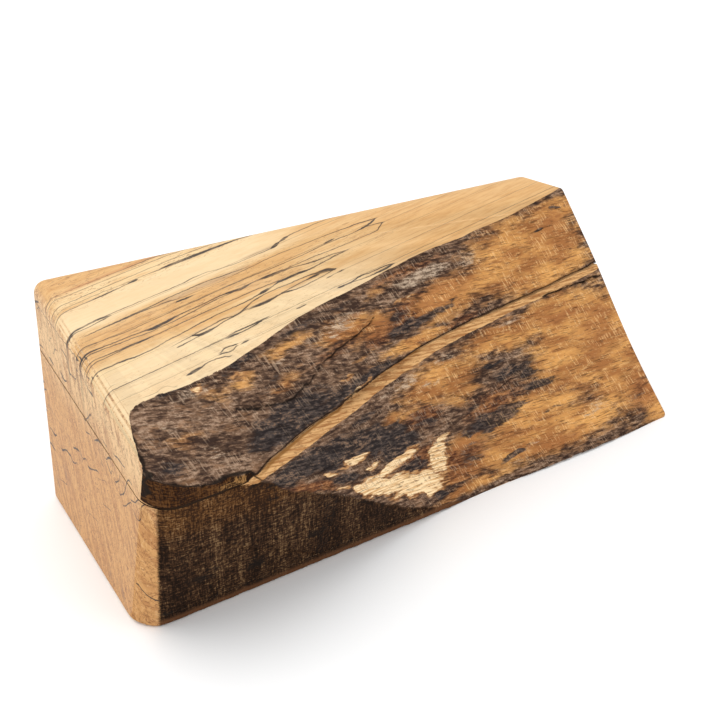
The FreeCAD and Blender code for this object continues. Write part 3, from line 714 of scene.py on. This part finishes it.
# Broad fields of the live edge, laid on like dabs of stain: u, z, half length, half height, rise of the
# field for each millimetre of u, strength.
DABS = {
    "char": [
        (62, 70, 24, 5.5, -.02, 1), (88, 67, 18, 3.2, -.05, .8), (108, 66.5, 14, 2.2, -.1, .8),
        (22, 88.3, 26, 2.0, .02, .55), (50, 88.5, 12, 2.5, 0, .7), (75, 88, 22, 2.4, 0, .6),
        (60, 80, 12, 2, -.1, .5), (100, 88, 14, 2.2, 0, .5), (8, 78.5, 12, 2.4, -.2, .6),
        (132, 73.4, 24, 2.2, -.02, .85), (125, 78, 12, 3, 0, .55), (150, 75, 10, 2, -.05, .5),
        (114, 84, 7, 4, 0, .45), (216, 89, 7, 1.5, -.4, .6), (205, 84.8, 6, .9, -.1, .6),
        (62, 56, 20, 4.5, -.06, 1), (84, 51, 20, 6, -.24, 1), (103, 44, 17, 7, -.35, 1),
        (113, 36, 13, 5.5, -.2, .95), (95, 56, 16, 3, -.05, .6), (128, 38, 14, 5, -.3, .55),
        (84, 41, 11, 2.3, -.42, .85), (93, 36, 9, 1.8, -.35, .7), (120, 24.5, 9, 3.6, -.25, .85),
        (131, 24, 6, 4, 0, .55), (106, 25, 2.6, 1.0, -.6, .9), (118, 17, 4.2, .75, -.15, .9),
        (126, 13.2, 6, .7, -.2, .8), (164, 25, 19, 4.2, .02, .95), (150, 15, 11, 7, 0, .55),
        (176, 40.5, 17, 3.3, .03, .75), (167, 45.6, 10, 1.1, -.12, .8), (185, 37, 8, 2.4, 0, .7),
        (189, 31, 11, 2.1, -.05, .75), (172, 9.6, 9, 1.6, .12, .8), (133, 7, 5, 2.4, -.3, .8),
        (124, 53.5, 12, 2, -.05, .5), (139, 46.5, 14, 1.4, -.1, .45), (205, 24, 12, 1, 0, .5),
        (240, 12, 10, 3, 0, .5), (228, 60, 9, .8, -.1, .5), (155, 33, 16, 2, .1, .5),
        (198, 20.2, 18, .9, -.02, .55), (232, 50, 6, 3, 0, .35),
    ],
    "fresh": [
        (88, 45, 6.5, 1.3, -.32, 1), (75, 47.4, 4.5, .9, -.3, .8), (97, 37, 3.6, .8, -.35, .9),
        (99, 28.5, 10, 3.4, -.45, 1), (111, 22, 10, 3.6, -.42, 1), (122, 16.5, 13, 4.2, -.3, 1.05),
        (111, 30.3, 11, 1.9, -.05, .95), (134, 21, 5, 6.2, -.3, .95), (137, 27.5, 4.5, 1.2, .1, .9),
        (128, 11.2, 7, 1.7, -.3, .9), (90, 33, 4.5, 2, -.6, .8), (80, 38.5, 4, 1, -.5, .55),
        (30, 86.4, 2.4, .9, -.1, .5), (48, 85.7, 5, 1.1, -.1, .36), (128, 81.7, 8, .8, -.02, .46),
        (148, 81.4, 4, .7, 0, .4), (129, 75.8, 4.6, .6, 0, .46), (95, 65.6, 9, .6, .03, .6),
        (92, 70.4, 7, .5, -.05, .45), (108, 78.4, 5, .5, -.05, .4), (116, 71.5, 6, .5, 0, .4),
    ],
    "chalk": [
        (30, 86, 12, 1.8, -.05, .75), (66, 83.5, 10, 1.8, 0, .6), (96, 83.5, 13, 3.4, .05, .85),
        (15, 82.5, 14, 2.2, -.1, .55), (28, 74.5, 12, 2, -.35, .6), (140, 86.2, 20, 3, .02, .95),
        (164, 85, 8, 4, 0, .7), (120, 56.5, 12, 3.6, -.1, .75), (142, 57, 12, 2.8, -.05, .65),
        (133, 51, 12, 3.2, -.05, .65), (178, 58.5, 16, 1.8, -.03, .65), (150, 58, 16, 1.8, 0, .45),
        (110, 58, 10, 1.8, 0, .6), (178, 9.6, 12, 2.2, .1, .6), (215, 14, 11, 4, 0, .7),
        (107, 50, 9, 3, -.2, .5), (60, 81, 20, 3, 0, .4), (40, 80, 10, 3, 0, .45),
    ],
    "gold": [
        (196, 78, 34, 16, -.1, .95), (168, 77, 16, 7, 0, .7), (130, 68, 22, 2.6, -.05, .8),
        (215, 69, 20, 6, 0, .7), (175, 54, 26, 6, -.08, .9), (215, 40, 30, 20, 0, 1.0),
        (190, 12, 50, 8, 0, .9), (232, 28, 22, 24, 0, .85), (150, 4.5, 30, 2.6, 0, .7),
        (48, 83.5, 11, 3.4, 0, .5), (117, 88, 10, 3, 0, .45), (150, 49, 20, 4, -.1, .55),
        (168, 17, 16, 2.6, .05, .75), (60, 45.5, 12, 1.8, -.4, .45), (142, 9, 16, 2, -.1, .6),
        (200, 55, 22, 7, 0, .9), (102, 72.5, 12, 1.2, 0, .45), (165, 33, 18, 2, .1, .45),
        (138, 50, 24, 9, -.12, .85), (150, 76, 24, 8, 0, .75), (185, 22, 34, 9, 0, .8),
        (110, 79, 16, 5, 0, .6), (66, 78, 10, 3, 0, .5), (72, 86, 18, 3, 0, .55), (150, 40, 14, 6, 0, .55),
        (214, 88.5, 26, 6, -.1, .75), (180, 88, 24, 4.5, 0, .6), (238, 82, 10, 9, 0, .8),
        (252, 8, 14, 10, 0, .9), (128, 62, 20, 2, 0, .5), (120, 46, 14, 4, -.2, .5),
        (18, 80, 12, 2.4, -.2, .4), (38, 84, 12, 3, -.1, .45), (98, 82, 16, 5, -.05, .7),
        (112, 47, 10, 4, -.3, .65), (150, 22, 18, 5, 0, .6),
    ],
    "red": [
        (138, 77, 28, 5, 0, .9), (112, 75, 14, 5, 0, .6), (66, 46.5, 15, 3.2, -.42, .85),
        (128, 40, 14, 6, -.2, .7), (146, 16, 14, 9, 0, .9), (165, 30, 24, 12, 0, .6),
        (122, 25, 13, 5, 0, .85), (155, 66.8, 16, 2, 0, .6), (212, 85, 14, 6, 0, .6),
        (226, 45, 16, 12, 0, .5), (243, 12, 12, 9, 0, .7), (90, 78, 20, 3, 0, .5),
        (205, 52, 16, 3, -.1, .6),
        (222, 34, 10, 5, 0, .5), (178, 62, 20, 4, 0, .4), (215, 76, 16, 4, -.2, .5), (195, 8, 30, 4, 0, .5),
        (132, 89.5, 30, 2, 0, .6), (50, 55, 8, 3, -.6, .6),
    ],
}

FIELDS = [*DABS, "sawn", "raw", "crease"]

# Cracks and ledges of the front: (u, z) along the line, depth and half width in millimetres.
CREASES = [
    ([(42, 79), (52, 76.6), (60, 74.8), (67, 74.2), (76, 75.2), (86, 77.6), (95, 78.3), (104, 79),
      (113, 81)], 0.9, 0.5),
    ([(134, 89.6), (141, 90.2), (148, 91), (156, 91.4)], 0.6, 0.4),
    ([(152, 66.5), (158, 68.5), (164, 71), (170, 70.6), (174, 68.8)], 0.5, 0.4),
    ([(197, 85.2), (204, 84.6), (210, 84.4)], 0.5, 0.4),
    ([(211, 90.4), (216, 88.4), (221, 85.8)], 0.5, 0.4),
    ([(198, 62.1), (206, 61.4), (214, 60.8), (223, 60.2), (234, 59.3)], 1.6, 0.45),
    ([(145, 41), (152, 37.8), (160, 35.9), (168, 35.3), (175, 36.8), (184, 40.6)], 0.7, 0.4),
    ([(48, 56.5), (55, 53.5), (63, 51.2), (74, 50.2), (84, 47.2)], 0.45, 0.3),
    ([(20, 39), (34, 32.5), (48, 22.5), (60, 15.5), (76, 4)], 0.5, 0.3),
    ([(62, 47), (72, 43.8), (84, 38), (92, 34.5)], 0.4, 0.35),
    ([(120, 72.2), (132, 72.8), (146, 73.8), (160, 74.2)], 0.4, 0.4),
    ([(213, 52.6), (222, 51.4), (233, 51.6)], 0.4, 0.35),
]

# Upper edge of the undercut saw face: (u, z) along it.
SAWN_EDGE = [(-20, 79), (0, 78.2), (8, 76), (18, 71.2), (30, 68.8), (39, 65.6), (43, 61), (48, 57), (56, 50),
             (68, 43.4), (78, 37), (90, 28.2), (104, 17.6), (118, 8.6), (131, 3.2), (145, 0.5), (170, -9)]


def polyline_height(points, u):
    xs, ys = zip(*points)
    return np.interp(u, xs, ys)


def distance_to_line(points, u, z):
    """Shortest distance from each (u, z) to the polyline."""
    best = np.full(len(u), 1e9)
    for (u0, z0), (u1, z1) in zip(points, points[1:]):
        run = np.array((u1 - u0, z1 - z0))
        share = np.clip(((u - u0) * run[0] + (z - z0) * run[1]) / (run @ run), 0, 1)
        best = np.minimum(best, np.hypot(u - u0 - share * run[0], z - z0 - share * run[1]))
    return best


def soft(value, low, high):
    """0 at low, 1 at high, smooth in between; low above high turns it round."""
    t = np.clip((value - low) / (high - low), 0, 1)
    return t * t * (3 - 2 * t)


def dab_field(rows, u, z):
    """Strength of one stain at each point: the strongest of its dabs."""
    field = np.zeros(len(u))
    for centre_u, centre_z, half_u, half_z, rise, strength in rows:
        across = (z - centre_z - rise * (u - centre_u)) / half_z
        along = (u - centre_u) / half_u
        field = np.maximum(field, strength * np.exp(-(along ** 2 + across ** 2) * 0.9))
    return field


def grain_noise(u, arc, v, along, across, seed):
    """Noise drawn out along the live edge, one value for each point, between about -1 and 1."""
    return np.array([noise.noise(Vector((a / along + seed, b / across, c / 40)))
                     for a, b, c in zip(u, arc, v)])


def wood_relief(u, v, arc, fresh):
    """Swells, ribs, fibres and flakes of the weathered wood; a fresh break lies a little lower."""
    broad = grain_noise(u, arc, v, 22, 9, 3.0)
    rib = grain_noise(u, arc, v, 13, 1.9, 7.0)
    fibre = grain_noise(u, arc, v, 6, 0.85, 13.0)
    flake = grain_noise(u, arc, v, 9, 4.5, 19.0)
    relief = broad * 0.75 + rib * 0.22 + fibre * 0.07 + np.where(flake > 0.12, 0.28, 0.0)
    return relief - 0.55 * soft(fresh, 0.3, 0.55)


def saw_relief(u, z):
    """Fine marks and slow waves that the saw left on the undercut face."""
    lean = u + z * SAW_LEAN
    marks = np.array([noise.noise(Vector((a / 0.9, c / 14, 5.0))) for a, c in zip(lean, z)])
    waves = np.array([noise.noise(Vector((a / 5, c / 25, 9.0))) for a, c in zip(lean, z)])
    return marks * 0.13 + waves * 0.25


def cracked(u, z, wobble, relief):
    """The relief with its cracks and ledges cut in, and how dark each point is with them: painted shade in
    the cracks, deeper for deeper cracks.
    """
    crease = np.zeros(len(u))
    for points, depth, half in CREASES:
        away = distance_to_line(points, u, z + wobble * 0.5)
        relief = relief - depth * np.exp(-(away / half) ** 2)
        # Darkness along each crack, stronger where the crack is deeper: painted shade in the cracks.
        crease = np.maximum(crease, np.exp(-(away / (half * 0.8)) ** 2) * min(1.0, 0.35 + depth * 0.5))
    # The ledge on the lid: the wood above the long crack stands proud of the charred hollow below it.
    ledge = polyline_height(CREASES[0][0], u)
    above = soft(z - ledge, -0.4, 0.6) * soft(u, 42, 52) * soft(u, 118, 108)
    return relief + 0.55 * above * soft(z - ledge, 9, 2), crease


def eased_cut(u, v, z, wobble):
    """Where the saw cut runs out: the band of bright wood on the base, and how far each side is eased."""
    over = z - kerf(u, v)
    width = np.interp(u, [22, 34, 48, 60, 120, 160, 180, 235], [0, 1.3, 2.8, 3.3, 3.2, 2.9, 2.0, 1.7])
    under = -HALF_CUT - over + wobble * 0.3
    band = soft(width - under, -0.3, 0.3) * (over < 0) * np.interp(u, [22, 32, 46], [0, 0.35, 1])
    slope = np.interp(u, [20, 40, 84, 90, 125, 132, 235], [0.2, 0.35, 0.4, 1.1, 1.0, 0.4, 0.35])
    base_ease = slope * np.clip(width - under, 0, None) * (over < 0)
    lid_ease = 0.5 * np.clip(2.0 - (over - HALF_CUT), 0, None) * (over > 0) * soft(u, 30, 60)
    return band, base_ease + lid_ease


def front_fields(u, v, z):
    """What the live edge is like at each point: the stain fields, the painted shade of its cracks, and the
    relief in millimetres.
    """
    arc = arc_of(u, v, z)
    wobble = grain_noise(u, arc, v, 5, 2.5, 31.0)
    fields = {name: dab_field(rows, u + wobble * 2.5, z + wobble * 0.9) for name, rows in DABS.items()}
    edge = polyline_height(SAWN_EDGE, u)
    sawn = soft(edge + wobble * 0.9 - z, -0.35, 0.35)
    fields["sawn"] = sawn
    relief = wood_relief(u, v, arc, fields["fresh"]) * (1 - sawn) + saw_relief(u, z) * sawn
    relief, crease = cracked(u, z, wobble, relief)

    # The bark ends in a crust over the saw face, and in a dark broken rim at the square end.
    crust = np.exp(-((z - edge - 0.2) / 0.55) ** 2) * np.interp(u, [0, 40, 50, 60], [0.85, 0.85, 0.3, 0.2])
    rim = np.exp(-((u - 1.0 + wobble * 1.5) / 0.9) ** 2) * soft(z, 66, 69)
    fields["crease"] = np.maximum.reduce([crease, crust, rim * 0.85])
    relief = relief + 0.7 * soft(z - edge, 0, 1.4) * soft(u, 52, 40) * soft(u, 0, 3)

    # The planed right end stays straight, so the relief dies out towards it.
    to_end = (RIGHT_END + RIGHT_SLOPE * v - u) / math.hypot(1, RIGHT_SLOPE)
    relief = relief * soft(to_end, 0.5, 5)
    fields["raw"], ease = eased_cut(u, v, z, wobble)
    relief = relief - ease * soft(to_end, 0, 2)
    # Nothing swells out past the foot.
    relief = np.where(z < 0.5, np.minimum(relief, 0), relief)
    return fields, relief


def shape_front(piece):
    """Move the front's points by its relief and store the stain fields, with the painted shade of the
    cracks, for the finish.
    """
    work = bmesh.new()
    work.from_mesh(piece.data)
    work.normal_update()
    layers = {name: work.verts.layers.float.new(name) for name in FIELDS}
    front_points, others = [], {}
    for vert in work.verts:
        mine = [f for f in vert.link_faces if f.material_index == 1]
        if mine:
            outward = sum((f.normal * f.calc_area() for f in mine), Vector()).normalized()
            front_points.append((vert, outward))
            others[vert.index] = [f.normal.copy() for f in vert.link_faces if f not in mine]
    u = np.array([(vert.co.x - SQUARE_END) / MM for vert, _ in front_points])
    v = np.array([(BACK - vert.co.y) / MM for vert, _ in front_points])
    z = np.array([vert.co.z / MM for vert, _ in front_points])
    fields, relief = front_fields(u, v, z)
    for index, (vert, normal) in enumerate(front_points):
        # Round the corner to the square end the relief fades out.
        turn = min(max((-normal.x - 0.5) / 0.4, 0.0), 1.0)
        shift = normal * (relief[index] * (1 - turn) * MM)
        for side in others[vert.index]:
            shift -= side * shift.dot(side)
        for name, layer in layers.items():
            vert[layer] = fields[name][index]
        vert.co += shift
    work.to_mesh(piece.data)
    work.free()


def carved(node, body):
    """A slice of the billet: planed faces kept, live edge and saw face shaped in fine relief."""
    piece = merged_copy(node, node + "_wood")
    for material in (PLANED, WEATHERED, SAW_CUT):
        piece.data.materials.append(material)
    mark_faces(piece)
    refine_front(piece)
    shape_front(piece)
    work_on(piece)
    bpy.ops.object.shade_smooth_by_angle(angle=math.radians(48))
    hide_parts(node)
    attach(piece, body)


def eased(node, body, material, ease, segments=2):
    """An inner piece with its sawn arrises eased."""
    piece = merged_copy(node, node + "_piece")
    bevel = piece.modifiers.new("ease", "BEVEL")
    bevel.width = ease * MM
    bevel.segments = segments
    bevel.limit_method = "ANGLE"
    bevel.angle_limit = math.radians(40)
    bpy.ops.object.modifier_apply(modifier=bevel.name)
    piece.data.materials.append(material)
    bpy.ops.object.shade_smooth_by_angle(angle=math.radians(35))
    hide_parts(node)
    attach(piece, body)


# =====================================================================================================
# The object
# =====================================================================================================
PLANED = planed_spalt()
WEATHERED = weathered_edge()
SAW_CUT = sawn_cut()
CORE = core_wood("core_wood", (0.78, 0.55, 0.29), (0.66, 0.40, 0.17), (0.05, 0.03, 0.02))
KEY_WOOD = core_wood("key_wood", (0.20, 0.085, 0.035), (0.115, 0.045, 0.02), (0.02, 0.01, 0.006))
SHIM_WOOD = core_wood("shim_wood", (0.42, 0.25, 0.12), (0.34, 0.19, 0.085), (0.05, 0.03, 0.02))
SUEDE = suede()

carved("lid_slab", "lid")
carved("base_shell", "root")
carved("bottom_panel", "root")

BODY_OF = {node: body for body, nodes in frame["record"]["behaviour"]["bodies"].items() for node in nodes}
SUEDE_NODES = [node for node in BODY_OF if "lining" in node]
KEY_NODES = ["key_post", "key_floor", "key_stopper"]
CORE_NODES = [side + part for side in ("left", "right") for part in ("_tray_wall", "_tray_floor", "_cover")]
for node in SUEDE_NODES:
    eased(node, BODY_OF[node], SUEDE, 0.15, 1)
for node in KEY_NODES:
    eased(node, BODY_OF[node], KEY_WOOD, 0.5)
for node in CORE_NODES + ["lid_locator"]:
    eased(node, BODY_OF[node], CORE, 0.5)
eased("kerf_shim", "root", SHIM_WOOD, 0.1, 1)

# =====================================================================================================
# Floor, light and camera
# =====================================================================================================


AIM = Vector((0, 0, 0.05))
PALE = (0.92, 0.92, 0.92, 1)


def stage():
    """Pale floor just under the box, and even light from all round."""
    bpy.ops.object.select_all(action="DESELECT")
    bpy.ops.mesh.primitive_plane_add(size=8, location=(0, 0, -0.1 * MM))
    floor = bpy.context.object
    floor.name = "floor"
    paper = bpy.data.materials.new("pale_floor")
    paper.use_nodes = True
    paper.node_tree.nodes["Principled BSDF"].inputs["Base Color"].default_value = PALE
    paper.node_tree.nodes["Principled BSDF"].inputs["Roughness"].default_value = 0.9
    floor.data.materials.append(paper)

    world = bpy.data.worlds.new("studio")
    world.use_nodes = True
    world.node_tree.nodes["Background"].inputs["Color"].default_value = (1, 1, 1, 1)
    world.node_tree.nodes["Background"].inputs["Strength"].default_value = 0.95
    bpy.context.scene.world = world


def soft_light(name, where, across, watts):
    """A round soft light aimed at the middle of the box."""
    lamp = bpy.data.lights.new(name, "AREA")
    lamp.shape = "DISK"
    lamp.size = across
    lamp.energy = watts
    holder = bpy.data.objects.new(name, lamp)
    holder.location = where
    holder.rotation_euler = (AIM - Vector(where)).to_track_quat("-Z", "Y").to_euler()
    bpy.context.scene.collection.objects.link(holder)


def camera():
    """Looks down on the square end and the live edge from the front left."""
    azimuth, elevation, distance = math.radians(-26.604), math.radians(31.137), 0.6365
    target = at(104.57, 45.46, 50.0)
    back = Vector((math.sin(azimuth) * math.cos(elevation), -math.cos(azimuth) * math.cos(elevation),
                   math.sin(elevation)))
    lens = bpy.data.cameras.new("camera")
    lens.lens = 82.5
    lens.sensor_width = 36.0
    lens.shift_x = 0.0295
    lens.shift_y = 0.0244
    lens.clip_start = 0.01
    holder = bpy.data.objects.new("camera", lens)
    holder.location = target + back * distance
    holder.rotation_euler = back.to_track_quat("Z", "Y").to_euler()
    bpy.context.scene.collection.objects.link(holder)
    bpy.context.scene.camera = holder


stage()
soft_light("key_light", (-0.35, 0.25, 0.95), 1.3, 6)
soft_light("fill_light", (0.7, -0.9, 0.6), 0.9, 2.5)
camera()
bpy.context.scene.view_settings.view_transform = "Standard"
